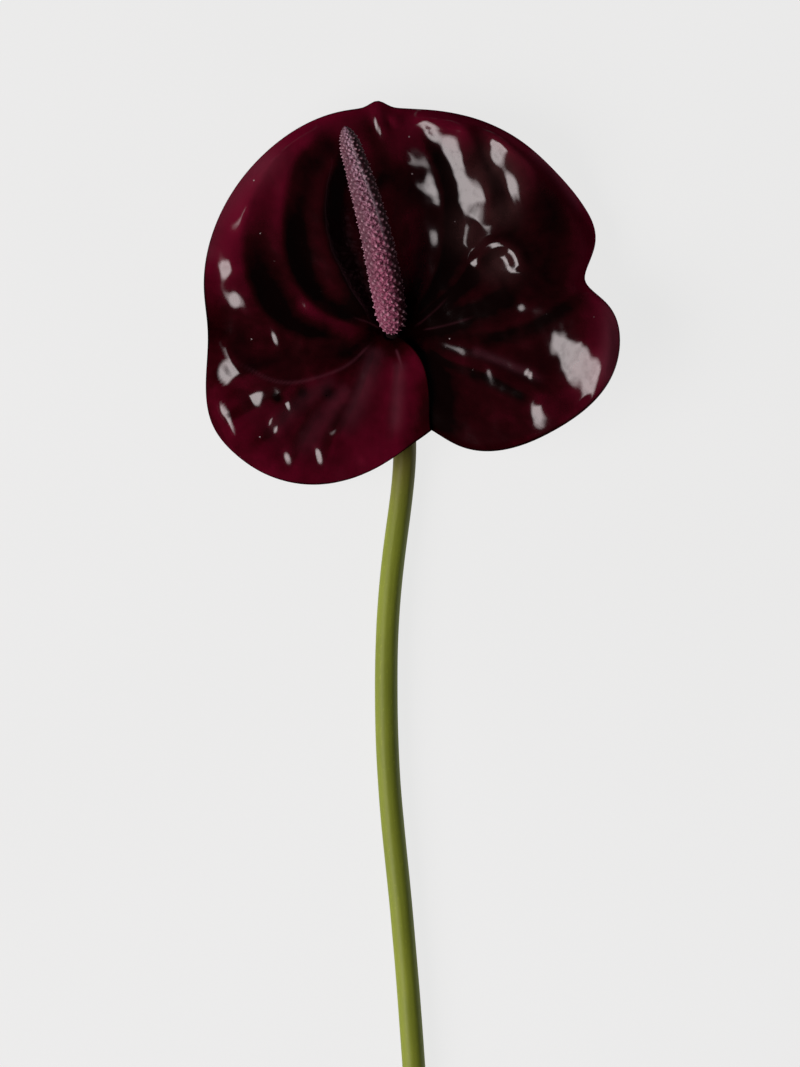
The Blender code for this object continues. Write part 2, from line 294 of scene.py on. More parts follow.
def stemPaint():
    colours = {
        "lit": (0.245, 0.292, 0.030),
        "deep": (0.126, 0.158, 0.016),
        # painted shadow of the spathe falling on the stem
        "brown": (0.100, 0.082, 0.018),
        # painted shade in the hollow where the stem ends at the node
        "seat": (0.004, 0.001, 0.001),
        "cut": (0.40, 0.42, 0.22),
    }
    paint = Paint(bpy.data.materials.new("stemSkin"))
    grain = paint.named("grain", "Vector")
    seat = paint.named("seat")
    streaks = paint.grain(paint.stretched(grain, 0.035, 0.9, 0.9), 1.0, 4, 0.6)
    blotch = paint.grain(paint.stretched(grain, 0.05, 0.16, 0.16), 1.0, 3, 0.55)
    specks = paint.grain(paint.stretched(grain, 0.8, 1.6, 1.6), 1.0, 2, 0.5)
    share = (streaks * 0.6 + blotch * 0.7 - 0.2).clipped()
    green = paint.blend(share, colours["deep"], colours["lit"])
    green = paint.blend(paint.ramp(specks, (0.62, 0), (0.7, 0.5)), green, colours["lit"])
    # painted shadow under the spathe
    green = paint.blend(paint.named("brown"), green, colours["brown"])
    # painted shade in the hollow at the node
    green = paint.blend(seat, green, colours["seat"])
    # bundles of vessels show as small rings on the cut face
    rings = paint.add("ShaderNodeTexVoronoi", {}, {"Vector": grain, "Scale": 1.3})
    face = paint.blend(paint.ramp(rings, (0.1, 0), (0.35, 1)), colours["deep"], colours["cut"])
    green = paint.blend(paint.named("cut"), green, face)
    fine = streaks + specks * 0.35
    return paint.finish({
        "Base Color": green,
        "Roughness": 0.5 + blotch * 0.16 + seat * 0.4,
        "Specular IOR Level": 0.1,
        "Coat Weight": 0.22 - seat * 0.22,
        "Coat Roughness": 0.45,
        "Normal": paint.bump(fine, 0.00012, 0.8),
    })


def buildStem():
    shape = stemShape
    count = int(-shape["cut"] / shape["step"])
    line = stemLine(count)
    fromCut = line[:, 1] - shape["cut"]
    turn = np.linspace(0, 2 * math.pi, shape["sides"], endpoint=False)
    flutes = np.cos(shape["ridges"] * turn)[None] * shape["ridgeDepth"]
    thinner = shape["neckIn"] * smoothStep(shape["neckFrom"], 0, line[:, 1])
    radii = (shape["radius"] - thinner)[:, None] + flutes
    rings = tubeRings(line, radii, shape["sides"])
    outward = unit(rings - line[:, None])
    lumps = cloud(rings, shape["lumpSize"], 3) * shape["lump"]
    under = np.clip(-outward[..., 2], 0, 1)      # the side that rests on the table stays even
    rings = rings + outward * (lumps * (1 - under))[..., None]
    # the cut face, with its edge rounded off a little
    cutRings = np.array(shape["cutRings"])
    across = rings[0] - line[0]
    rings[0] = line[0] + across * (1 - shape["cutRound"])
    rings = np.concatenate([line[0] + across * cutRings[:, None, None], rings])
    points = np.concatenate([rings.reshape(-1, 3), [line[0], line[-1]]])
    # the grain is the stem laid out straight: length from the cut, and two places across
    length = np.concatenate([[0, 0], fromCut])[:, None]
    spread = np.concatenate([cutRings, np.ones(count)])[:, None] * shape["radius"]
    grain = np.stack([
        np.broadcast_to(length, rings.shape[:2]),
        spread * np.cos(turn),
        spread * np.sin(turn),
    ], axis=-1)
    cut = np.concatenate([[1, 1], smoothStep(shape["cutPale"], 0, fromCut)])
    marks = {
        "grain": np.concatenate([grain.reshape(-1, 3), [(0, 0, 0), (fromCut[-1], 0, 0)]]),
        "cut": np.concatenate([np.repeat(cut, shape["sides"]), [1, 0]]),
        # painted shadow under the spathe
        "brown": smoothStep(*shape["brown"], points[:, 1]) * shape["spatheShadowShare"],
        # painted shade in the hollow at the node
        "seat": smoothStep(*shape["seat"], points[:, 1]),
    }
    faces = tubeFaces(len(rings), shape["sides"])
    piece = meshPiece("stemSkin", points, faces, stemPaint(), marks)
    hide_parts("stem")
    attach(piece, "root")
    print("stem made:", len(faces), "faces")


# the spathe

spatheShape = {
    # angles round the node and, at each: reach, height of the bowl's shoulder and its place as a
    # share of the reach, height of the brow where the margin begins to roll, width of the roll,
    # height of the rim
    "profiles": (
        (-92, 26.0, 11.4, 0.70, 11.2, 3.0, 11.0),
        (-78, 27.0, 12.2, 0.70, 12.1, 3.0, 12.0),
        (-68, 30.2, 12.8, 0.70, 12.8, 3.0, 12.7),
        (-60, 37.2, 13.3, 0.70, 13.3, 3.0, 13.2),
        (-50, 44.4, 14.3, 0.72, 14.5, 3.0, 14.4),
        (-30, 55.0, 15.8, 0.72, 18.0, 7.0, 18.6),
        (-12, 64.3, 17.0, 0.72, 20.5, 8.0, 21.5),
        (-1, 65.8, 17.5, 0.72, 20.0, 8.0, 20.5),
        (8, 62.9, 17.0, 0.72, 18.0, 7.0, 17.0),
        (16, 58.1, 16.0, 0.68, 15.0, 5.0, 11.5),
        (24, 64.2, 15.0, 0.66, 11.8, 2.6, 8.0),
        (33, 67.0, 14.2, 0.72, 9.8, 1.6, 3.0),
        (45, 67.2, 14.4, 0.78, 9.2, 1.4, 0.3),
        (58, 67.6, 14.8, 0.84, 11.4, 1.8, 8.0),
        (73, 67.0, 14.4, 0.86, 12.4, 2.6, 10.8),
        (87, 66.0, 13.8, 0.86, 12.6, 3.0, 11.2),
        (105, 66.8, 14.0, 0.84, 12.8, 3.0, 11.4),
        (122, 65.2, 14.4, 0.80, 13.0, 4.0, 11.2),
        (150, 60.4, 13.0, 0.74, 14.0, 3.0, 14.0),
        (166, 56.8, 12.1, 0.70, 13.2, 3.0, 13.1),
        (177, 54.2, 11.4, 0.66, 12.7, 2.5, 12.4),
        (186, 54.4, 10.7, 0.64, 12.2, 2.5, 10.2),
        (195, 56.4, 9.9, 0.62, 11.0, 2.3, 5.2),
        (206, 58.6, 9.5, 0.62, 9.4, 2.0, 0.15),
        (217, 57.4, 9.8, 0.62, 10.4, 2.1, 4.6),
        (228, 54.8, 10.6, 0.62, 11.3, 2.4, 9.2),
        (240, 50.4, 11.7, 0.64, 12.0, 3.0, 11.8),
        (265, 38.2, 13.2, 0.70, 12.8, 4.0, 11.6),
        (281, 32.3, 13.4, 0.70, 13.2, 3.0, 12.6),
        (292, 30.2, 13.3, 0.70, 13.2, 3.0, 13.0),
    ),
    "thickness": 0.9,
    "collar": 2.0,                # closes in round the stem
    "collarSlope": 0.1,
    "hollow": 0.16,               # share of the reach over which it runs on at that slope
    "midClimb": 0.38,             # how soon the bowl rises from the collar to the shoulder
    "nodeClimb": math.radians(39),
    "apexAngle": 93.8,
    "apexLength": 2.0,
    "apexHalfAngle": 2.6,
    # the left lobe's inner margin swings over the right lobe's, and both swing more further in
    "leftSwing": 50.0,
    "leftSwingFrom": 245.0,
    "rightSwing": 32.0,
    "rightSwingFrom": -28.0,
    "swingCurve": 1.5,
    "leftLift": (1.6, 0.6),       # at the collar and at the rim
    "liftSpread": 38.0,
    "rightDrop": 2.6,
    "dropSpread": 27.0,
    "dropGrown": 0.2,             # share of the way out over which the drop sets in
    # angles round the node and, at each, how red it is at the margin and half way in, and the
    # share of the way out where the margin's colour begins
    "blush": (
        (-92, 0.45, 0.40, 0.60),
        (-60, 0.42, 0.36, 0.60),
        (-30, 0.50, 0.38, 0.60),
        (-5, 0.95, 0.34, 0.75),
        (15, 1.25, 0.21, 0.84),
        (40, 1.15, 0.16, 0.86),
        (65, 0.75, 0.21, 0.80),
        (90, 1.05, 0.26, 0.62),
        (115, 1.12, 0.18, 0.60),
        (140, 1.22, 0.20, 0.60),
        (165, 0.62, 0.26, 0.60),
        (178, 0.14, 0.26, 0.60),
        (188, 0.14, 0.26, 0.60),
        (200, 0.48, 0.34, 0.60),
        (210, 0.50, 0.38, 0.60),
        (240, 0.70, 0.50, 0.60),
        (262, 0.95, 0.80, 0.60),
        (279, 0.80, 0.80, 0.60),
        (292, 0.60, 0.66, 0.60),
    ),
    "marginSpread": (0.7, 0.4),   # it is full at the first share, plus the second of its beginning
    "heartShade": (0.02, 0.35),    # share of the way out over which the painted shade of the hollow heart ends
    "reliefShading": 0.06,            # painted shade: high places redder, low ones darker, by this much a millimetre
    "flankShade": 0.4,             # how dark the painted shade on folds' right flanks can get, and the rim
    "rimDark": 0.5,
    "rimDarkWidth": (0.7, 0.2),   # from the edge
    # lines along which it is redder (plus) or darker (minus): width, strength and points
    "tints": (
        (3.5, 0.52, ((-12, 1.5), (-18, 3), (-26, 7))),
        (3.0, 0.25, ((-19, 10), (-22, 17))),
        (3.0, -0.22, ((-11, 9), (-12.5, 17))),
        (3.5, -0.15, ((-12, -3.5), (-22, -5), (-30, -4))),
        (6.0, -0.46, ((-21, 49), (-15, 57), (-8, 60))),
        (4.5, -0.25, ((-3.5, 54), (-2, 46))),
        (4.0, 0.36, ((6.6, 34), (6.6, 22), (7, 9))),
        (4.5, -0.26, ((12, 3.5), (20, 4.5))),
        (3.5, 0.25, ((-3, -4.5), (-2, -10))),
        (3.6, -0.32, ((9.4, -15), (8.8, -22), (5.5, -32))),
        (5.0, 0.20, ((51, 42), (53, 30), (51, 20))),
        (5.0, 0.22, ((-53, -6), (-38, -5))),
        (6.0, 0.16, ((-42, -24), (-36, -23))),
        (6.0, -0.15, ((22, -33), (30, -32))),
    ),
    # likewise, but on the right lobe only: the shadow beside the left lobe's margin
    "rightTints": (
        (4.5, -0.42, ((9, -4), (12.5, -8), (14.5, -14), (15, -25))),
    ),
    "rightLobe": (-20, -40),      # angles over which the right lobe begins
    # round patches, size and place: greyish painted reflection haze, and dark pits of painted shade
    "reflectionHazes": ((9, (28.5, 47)), (5, (31, 36)), (6, (20, 30)), (5, (31, 20))),
    "shadedPits": ((1.6, (-26.3, -16.6)), (1.8, (-18.8, -16.8)), (1.4, (-33.5, -18))),
    "pitShade": 0.6,
    "columns": 384,
    "endColumns": (0, 0.15, 0.4, 0.75, 1.2),       # degrees; they are close at the free margins
    "rows": 104,
    "rimRows": (0.006, 0.0025, 0.0015, 0.0008, 0.0003, 0),    # shares from the rim; close there
    # a border of the blade stays smooth: its width, how much more on the left and the angles
    # over which that grows, how much more in the rim's dip, and where the dip is and its spread
    "border": 3.5,
    "leftBorder": 4.5,
    "leftBorderAngles": (115, 145),
    "dipBorder": 3.5,
    "dipAngle": 211,
    "dipSpread": 14,
    "straightUp": (2, 12),        # from the rim: what stands out there only goes straight up
    "lumps": ((11, 5, 0.35), (5, 8, 0.2), (2.8, 2, 0.1)),     # size, seed and height
    "fullFold": 26.0,             # nearer the node than this, folds are smaller and narrower
    "leastFold": 0.1,
    "foldRound": 1.1,             # rounding of a fold's crest, and of the foot of its flanks
    "foldFoot": 0.12,
    "foldEnd": 0.88,              # share of its length where it begins to die away
    "flankFrom": (-0.1, 0.4),     # where the painted shade of a right flank begins, in flank widths
    "flankTo": (1.8, 0.7),
    # folds that run out from the node: height, widths to the left and right of the crest seen
    # from the node, the share of its length over which it grows, how dark the painted shade on
    # its right flank is, and points on the crest
    "folds": (
        (1.2, 7.5, 3.8, 0.2, 1.0, (
            (3.5, 2.5), (9, 12), (13.6, 22.5), (14.6, 33), (14, 42), (10.5, 51.5), (5, 60))),
        (3.9, 9.6, 4.2, 0.3, 0.4, (
            (26, 29), (28, 37), (27, 45), (22.3, 55), (16.5, 62.3), (11.5, 66), (7, 69))),
        (4.4, 6.5, 15.0, 0.5, 0.8, (
            (40, 26), (41, 37), (38.5, 47), (33, 55), (27, 60.5), (19, 65))),
        (0.9, 3.5, 3.5, 0.3, 1.0, ((6, 4.5), (12, 9.4), (18, 15), (22.5, 21.5))),
        (0.9, 3.5, 5.0, 0.3, 0.6, ((11, 3), (19, 7.6), (26, 11), (33, 15.5))),
        (2.4, 7.0, 4.6, 0.1, 1.0, (
            (-5, 2.5), (-12, 12), (-19.5, 27), (-20.8, 38), (-18.5, 48), (-14.5, 56))),
        (2.4, 10.0, 5.6, 0.1, 1.2, (
            (-8, 1.5), (-24, 8.5), (-31, 21), (-32.6, 36), (-28, 51), (-18.5, 62))),
        (2.0, 18.0, 6.5, 0.1, 1.3, (
            (-12, -1.5), (-31, 0.5), (-43, 16), (-44.4, 30), (-38, 48), (-27, 60))),
        (1.8, 4.0, 5.5, 0.1, 0.3, ((-9, -4), (-22, -13.5), (-34, -14), (-46, -7.5), (-51, 1))),
        (0.6, 3.0, 3.0, 0.2, 0.6, ((-4.4, -2.6), (-9.6, -18.6), (-15.4, -31))),
        (0.6, 3.0, 3.0, 0.2, 0.6, ((2, -7), (1.6, -20), (0.6, -32))),
        (0.45, 3.0, 2.5, 0.2, 0.8, (
            (9, -2.5), (16, -7), (24, -9.8), (29, -11.8), (35, -15), (41, -18))),
        (0.8, 3.0, 2.5, 0.2, 0.6, ((12, -2.5), (24, -4), (33, -7), (39.5, -11), (46, -15))),
        (0.6, 2.5, 3.5, 0.3, 0.6, ((16.6, 0.3), (31.1, 1.7), (45.6, 7.6), (56.0, 15.0))),
        (2.1, 2.2, 2.4, 0.2, 0.3, (
            (23.6, 17.5), (26.0, 23.4), (31.0, 26.3), (35.2, 24.2), (37.4, 17.6))),
        (0.5, 1.3, 1.3, 0.3, 0.3, ((23.2, 33.5), (22.6, 29.5), (21.6, 25.0))),
        (0.7, 3.0, 2.6, 0.3, 0.5, ((-27, -6), (-40, -10.5), (-54, -14.5))),
        (0.7, 3.0, 2.6, 0.3, 0.5, ((-26, -13), (-38, -20.5), (-49, -27))),
        (0.7, 3.0, 2.6, 0.3, 0.5, ((-24, -17), (-33, -28), (-42, -36.5))),
        (0.7, 3.0, 2.6, 0.3, 0.5, ((-19, -19), (-25, -31), (-31, -43))),
        (0.7, 3.0, 2.6, 0.3, 0.5, ((-13, -20), (-17, -31), (-21, -43))),
    ),
    # spots where the skin swells beside a hollow: place, half length, half width, and how steeply
    # it rises towards swellTurn, an angle round the node
    "swells": (
        (7.0, 52.8, 4.8, 4.0, 0.15),
        (10.9, 41.2, 4.5, 2.6, 0.06),
        (11.9, 29.5, 3.4, 3.2, 0.12),
        (18.8, 50.0, 4.0, 3.2, 0.25),
        (30.0, 22.0, 5.0, 6.0, 0.1),
        (32.0, 8.0, 9.0, 9.0, -0.14),
        (8.6, 46.8, 1.3, 3.0, -0.14),
        (12.2, 34.6, 1.3, 3.0, -0.14),
        (29.2, 52.4, 4.0, 3.8, 0.98),
        (33.6, 43.4, 3.4, 3.6, 0.36),
        (9.0, 60.2, 3.4, 3.4, 0.27),
        (13.4, 58.6, 3.4, 3.4, 0.34),
        (11.2, 56.9, 2.2, 2.2, 0.24),
        (-4.4, 60.5, 3.5, 1.6, 0.6),
        (-0.3, 61.5, 1.5, 1.3, 0.7),
        (30.4, 26.2, 1.2, 3.0, 0.24),
        (14.5, 4.0, 2.5, 3.0, -0.16),
        (32.2, 47.6, 1.4, 2.6, -0.10),
        (36.8, 7.8, 1.2, 2.2, 0.26),
        (21.5, 7.0, 3.0, 3.5, -0.14),
        (27.8, -10.6, 1.1, 1.8, 0.27),
        (39.6, -10.4, 1.6, 3.0, 0.37),
        (42.0, -22.8, 3.8, 3.8, 0.42),
        (50.5, -4.5, 3.0, 6.0, 0.2),
        (57.6, -14.6, 8.0, 8.0, 0.36),
        (-48.2, 18.8, 1.6, 2.4, 0.3),
        (-45.4, 10.2, 2.2, 3.2, 0.36),
        (-52.5, 16.0, 6.0, 3.0, -0.1),
        (-34.3, -0.6, 2.2, 1.2, 0.34),
        (-46.6, -10.6, 2.2, 2.2, 0.3),
        (-40.0, -17.4, 2.4, 2.2, 0.36),
        (-34.3, -26.7, 2.1, 1.9, 0.52),
        (-30.4, -20.0, 1.8, 1.0, 0.36),
        (-21.8, -34.0, 2.6, 1.2, 0.34),
        (-49.2, -25.0, 3.4, 1.7, 0.02),
        (-25.6, 8.4, 2.5, 1.5, 0.25),
        (-49.0, 28.0, 5.0, 4.0, -0.15),
        (-51.0, -3.0, 4.0, 3.4, -0.22),
        (-49.0, -24.0, 6.0, 4.0, -0.25),
        (-8.7, -38.0, 1.6, 1.2, 0.4),
        (-14.8, -41.3, 1.6, 1.2, 0.4),
        (-30.8, -34.6, 2.0, 1.4, 0.24),
    ),
    "swellTurn": math.radians(22),
    # where the blade is dull: slopes over which it grows so in any direction and to one side,
    # distances from the node, and shares of the smooth border
    "dullSlope": (0.93, 0.7),
    "sideSlope": (0.7, 0.45),
    "dullSide": (0.87, 0.5),
    "dullHeart": (6, 16),
    "dullRim": (1.1, 0.4),
    "rimDull": 0.99,
    "rolledSlope": (-0.02, 0.1),  # the left margin's roll is dull too: slopes and angles
    "rolledAngles": (120, 140),
    "crownGloss": (0.4, 0.15),    # but the crown of a swell is not
    "softX": (40, 48),            # the lower right is a little less glossy
    "softY": (6, 0),
    "softDull": 0.1,
    # pale veins, with painted highlights along the lower-left fold's crest and just below the node,
    # and painted sheen along the top-left and upper-right rims: width, strength and points
    "veinsAndSheen": (
        (0.4, 0.3, (
            (-5.5, -1.7), (-13, -8.5), (-23.3, -12.8), (-32, -13.8), (-40.4, -10.6), (-49, -6))),
        (0.3, 0.16, ((6.3, 2.2), (11, 6), (16.5, 11.5))),
        (0.3, 0.16, ((8.6, 1.4), (16, 3.0), (24.4, 5.6))),
        (0.3, 0.16, ((-3.8, 1.8), (-8, 4), (-12.5, 5.2))),
        (0.4, 0.45, ((0.9, -4), (2.2, -8), (2.9, -12))),
        (2.6, 0.26, ((-4.4, -2.6), (-6.5, -10), (-9.6, -18.6), (-15.4, -31))),
        (1.8, 0.34, ((1.8, -7), (1.4, -20), (0.4, -31))),
        (2.8, 0.18, ((-12, -14), (-20, -24), (-28, -37))),
        (2.4, 0.15, ((-16, -12), (-27, -20), (-38, -31))),
        (1.2, 0.25, ((22, -4), (33, -8.5), (45, -14))),
        (3.0, 0.5, ((63, 12), (63.5, 4), (62.5, -6), (59, -18))),
        (5.0, 0.35, ((-57, 20), (-53, 33), (-43, 46), (-28, 57))),
        (1.8, 0.40, ((39, 54), (44.6, 48.6), (51.4, 40.6), (54.8, 33))),
    ),
}


def basis(places, count, degree=3):
    # clamped B-spline weights at places between 0 and 1, one column for each control point
    inner = np.linspace(0, 1, count - degree + 1)
    knots = np.concatenate([np.zeros(degree), inner, np.ones(degree)])
    places = np.clip(np.asarray(places, float), 0, 1 - 1e-12)[:, None]
    weights = ((places >= knots[:-1]) & (places < knots[1:])).astype(float)
    for step in range(1, degree + 1):
        leftWidth = knots[step:-1] - knots[:-step - 1]
        rightWidth = knots[step + 1:] - knots[1:-step]
        left = (places - knots[:-step - 1]) / np.where(leftWidth > 0, leftWidth, 1)
        right = (knots[step + 1:] - places) / np.where(rightWidth > 0, rightWidth, 1)
        left = np.where(leftWidth > 0, left, 0)
        right = np.where(rightWidth > 0, right, 0)
        weights = left * weights[:, :-1] + right * weights[:, 1:]
    return weights


def bladeGrid():
    # angles of the blade's columns, and shares of the way out of its rows
    shape = spatheShape
    first, last = shape["profiles"][0][0], shape["profiles"][-1][0]
    ends = np.array(shape["endColumns"])
    middle = np.linspace(first + 2, last - 2, shape["columns"])
    angles = np.concatenate([first + ends, middle, (last - ends)[::-1]])
    rim = 1 - np.array(shape["rimRows"])
    return angles, np.concatenate([np.linspace(0, rim[0], shape["rows"]), rim[1:]])


def bladePoints(angles, shares):
    # the blade's middle surface: rows of points from the collar out to the rim
    shape = spatheShape
    table = np.array(shape["profiles"], float)
    columns = [spline(table[:, 0], column, angles) for column in table[:, 1:].T]
    reach, shoulder, shoulderShare, brow, roll, rim = columns
    apex = np.exp(-((angles - shape["apexAngle"]) / shape["apexHalfAngle"]) ** 2)
    reach = reach + shape["apexLength"] * apex - shape["thickness"] / 2
    # the collar is a ring square to the stem, which climbs there
    turn = np.radians(angles)
    climb = shape["nodeClimb"]
    collar = shape["collar"] * (1 - (1 - math.sin(climb)) * np.sin(turn) ** 2)
    collarHeight = stemShape["nodeHeight"] - shape["collar"] * math.cos(climb) * np.sin(turn)
    first = collar + shape["hollow"] * reach
    third = shoulderShare * reach
    second = 0.5 * (first + third)
    brink = reach - roll
    across = np.stack([collar, first, second, third, (third + brink) / 2, brink, reach])
    upward = np.stack([
        collarHeight,
        collarHeight + shape["collarSlope"] * (first - collar),
        collarHeight + shape["midClimb"] * (shoulder - collarHeight),
        shoulder,
        (shoulder + brow) / 2,
        brow,
        rim,
    ])
    weights = basis(shares, len(across))
    radius, height = weights @ across, weights @ upward
    share = shares[:, None]
    left = smoothStep(shape["leftSwingFrom"], angles[-1], angles)
    right = smoothStep(shape["rightSwingFrom"], angles[0], angles)
    swing = shape["leftSwing"] * left + shape["rightSwing"] * right
    inward = np.clip((reach - radius) / (reach - collar), 0, 1)
    direction = np.radians(angles + swing * inward ** shape["swingCurve"])
    liftCollar, liftRim = shape["leftLift"]
    lift = liftRim + (liftCollar - liftRim) * (1 - share) ** 2
    height = height + lift * smoothStep(angles[-1] - shape["liftSpread"], angles[-1], angles)
    drop = shape["rightDrop"] * smoothStep(0, shape["dropGrown"], share)
    height = height - drop * smoothStep(angles[0] + shape["dropSpread"], angles[0], angles)
    return np.stack([radius * np.cos(direction), radius * np.sin(direction), height], axis=-1)


def gridNormals(points):
    # upward normals of a grid of points, rows from the collar out, columns anticlockwise
    down = np.gradient(points, axis=0)
    across = np.gradient(points, axis=1)
    return unit(np.cross(down, across))


def nearLine(places, line):
    # for each place: distance to the line, minus on its left, and the share along it
    best = np.full(places.shape[:-1], 1e9)
    signed = np.zeros_like(best)
    along = np.zeros_like(best)
    for i, (start, run) in enumerate(zip(line, np.diff(line, axis=0))):
        rel = places - start
        step = np.clip((rel @ run) / (run @ run), 0, 1)
        off = rel - step[..., None] * run
        distance = np.hypot(off[..., 0], off[..., 1])
        closer = distance < best
        side = run[1] * rel[..., 0] - run[0] * rel[..., 1]
        best = np.where(closer, distance, best)
        signed = np.where(closer, np.where(side > 0, distance, -distance), signed)
        along = np.where(closer, (i + step) / (len(line) - 1), along)
    return signed, along


def spot(places, size, centre):
    # a soft round patch
    away = np.linalg.norm(places - centre, axis=-1)
    return np.exp(-(away / size) ** 2)


def foldRelief(places):
    # height of the folds above the smooth blade, and the painted shade down a right flank
    shape = spatheShape
    total = np.zeros(places.shape[:-1])
    flank = np.zeros(places.shape[:-1])
    near = np.hypot(places[..., 0], places[..., 1]) / shape["fullFold"]
    local = np.clip(near, shape["leastFold"], 1)
    crest, foot = shape["foldRound"], shape["foldFoot"]
    for height, leftWidth, rightWidth, grown, dark, points in shape["folds"]:
        signed, along = nearLine(places, curveThrough(points, 40))
        away = np.sqrt(signed ** 2 + crest ** 2) - crest
        slant = 1 - away / (np.where(signed < 0, leftWidth, rightWidth) * local)
        tent = (slant + np.sqrt(slant ** 2 + foot)) / (1 + math.sqrt(1 + foot))
        fade = smoothStep(0, grown, along) * smoothStep(1.0, shape["foldEnd"], along)
        total = total + height * local * fade * tent
        # painted shade down the right flank, the side turned away from the light
        down = signed / (rightWidth * local)
        band = smoothStep(*shape["flankFrom"], down) * smoothStep(*shape["flankTo"], down)
        flank = flank + dark * fade * band
    return total, flank


def swellRelief(places):
    # height of the single swells, each with its hollow, and how much a place belongs to one
    shape = spatheShape
    turn = shape["swellTurn"]
    across = np.array([math.cos(turn), math.sin(turn)])
    total = np.zeros(places.shape[:-1])
    crown = np.zeros(places.shape[:-1])
    for x, y, halfLength, halfWidth, tilt in shape["swells"]:
        offset = places - (x, y)
        rising = offset @ across
        level = offset @ np.array([-across[1], across[0]])
        bell = np.exp(-0.5 * ((rising / halfWidth) ** 2 + (level / halfLength) ** 2))
        total = total + tilt * rising * bell
        if tilt > 0:
            crown = np.maximum(crown, bell)
    return total, crown


def edgeDistance(points):
    # distance over the blade from each grid point to the rim, and to the nearest free edge
    stepsDown = np.linalg.norm(np.diff(points, axis=0), axis=-1)
    none = np.zeros((1, points.shape[1]))
    toRim = np.concatenate([np.cumsum(stepsDown[::-1], axis=0)[::-1], none])
    stepsAcross = np.linalg.norm(np.diff(points, axis=1), axis=-1)
    zeros = np.zeros((points.shape[0], 1))
    fromStart = np.concatenate([zeros, np.cumsum(stepsAcross, axis=1)], axis=1)
    fromEnd = np.concatenate([np.cumsum(stepsAcross[:, ::-1], axis=1)[:, ::-1], zeros], axis=1)
    return toRim, np.minimum(toRim, np.minimum(fromStart, fromEnd))


def spathePaint():
    colours = {
        "dark": (0.0030, 0.0003, 0.0003),
        "brown": (0.0200, 0.0009, 0.0024),
        "red": (0.1000, 0.0024, 0.0140),
        # painted reflection haze
        "bloom": (0.0450, 0.0180, 0.0180),
        # pale veins, and painted highlight and sheen
        "vein": (0.115, 0.030, 0.045),
        # painted glints
        "glints": (0.35, 0.30, 0.30),
        "under": (0.085, 0.020, 0.034),
    }
    paint = Paint(bpy.data.materials.new("spatheWax"))
    grain = paint.named("grain", "Vector")
    cloudy = paint.grain(grain, 0.09, 4, 0.6)
    fine = paint.grain(grain, 0.9, 3, 0.6)
    marbled = paint.grain(grain, 0.35, 4, 0.65)
    # redness carries the spathe's own reds and also its painted shade: heart, hollows, fold flanks,
    # pits
    share = (paint.named("redness") + cloudy * 0.5 + marbled * 0.3 - 0.4).clipped()
    face = paint.blend((share * 3).clipped(), colours["dark"], colours["brown"])
    face = paint.blend((share * 1.5 - 0.5).clipped(), face, colours["red"])
    # painted reflection haze: greyish patches round the highlights
    patchy = (paint.named("bloom") * (cloudy * 1.7 - 0.2)).clipped()
    face = paint.blend(patchy, face, colours["bloom"])
    # pale veins, and painted highlights and sheen along lines
    face = paint.blend((paint.named("vein") * (cloudy + 0.5)).clipped(), face, colours["vein"])
    # painted glints: tiny pale specks scattered over the face
    glints = paint.add("ShaderNodeTexVoronoi", {}, {"Vector": grain, "Scale": 0.13})
    face = paint.blend(paint.ramp(glints, (0.02, 0.8), (0.04, 0)), face, colours["glints"])
    colour = paint.blend(paint.named("top"), colours["under"], face)
    return paint.finish({
        "Base Color": colour,
        "Roughness": 0.33 - fine * 0.06,
        "Specular IOR Level": 0.0,
        "Coat Weight": (paint.named("gloss") * (marbled * 1.3 + 0.4)).clipped(),
        "Coat Roughness": 0.12,
        "Coat IOR": 1.52,
        "Normal": paint.bump(fine, 0.00006, 0.6),
    })


def smoothBorder(angles):
    # width of the border that stays smooth
    shape = spatheShape
    more = shape["leftBorder"] * smoothStep(*shape["leftBorderAngles"], angles)
    dip = np.exp(-((angles - shape["dipAngle"]) / shape["dipSpread"]) ** 2)
    return shape["border"] + more + shape["dipBorder"] * dip


def redMark(points, angles, toEdge, relief, flank):
    # how red each place is: painted shade at the hollow heart, in low places, down the folds'
    # right flanks, in pits and beside the left lobe's margin; redder towards the margin and on
    # the left lobe
    shape = spatheShape
    flat = points[..., :2]
    outward = np.hypot(flat[..., 0], flat[..., 1])
    outward = outward / outward[-1]
    blush = np.array(shape["blush"])
    margin, middle, start = (np.interp(angles, blush[:, 0], column) for column in blush[:, 1:].T)
    full, later = shape["marginSpread"]
    redness = middle + (margin - middle) * smoothStep(start, full + start * later, outward)
    # painted shade in the hollow round the node
    redness = redness * smoothStep(*shape["heartShade"], outward)
    # painted light and shade by height, and painted shade down the folds' right flanks
    redness = redness + shape["reliefShading"] * (relief - 1) - shape["flankShade"] * flank
    rightLobe = smoothStep(*shape["rightLobe"], angles)
    for tints, where in ((shape["tints"], 1), (shape["rightTints"], rightLobe)):
        for width, strength, line in tints:
            away = nearLine(flat, curveThrough(line, 30))[0]
            redness = redness + strength * where * np.exp(-(away / width) ** 2)
    redness = redness - shape["rimDark"] * smoothStep(*shape["rimDarkWidth"], toEdge)
    # painted shade in small pits
    for size, centre in shape["shadedPits"]:
        redness = redness - shape["pitShade"] * spot(flat, size, centre)
    return redness


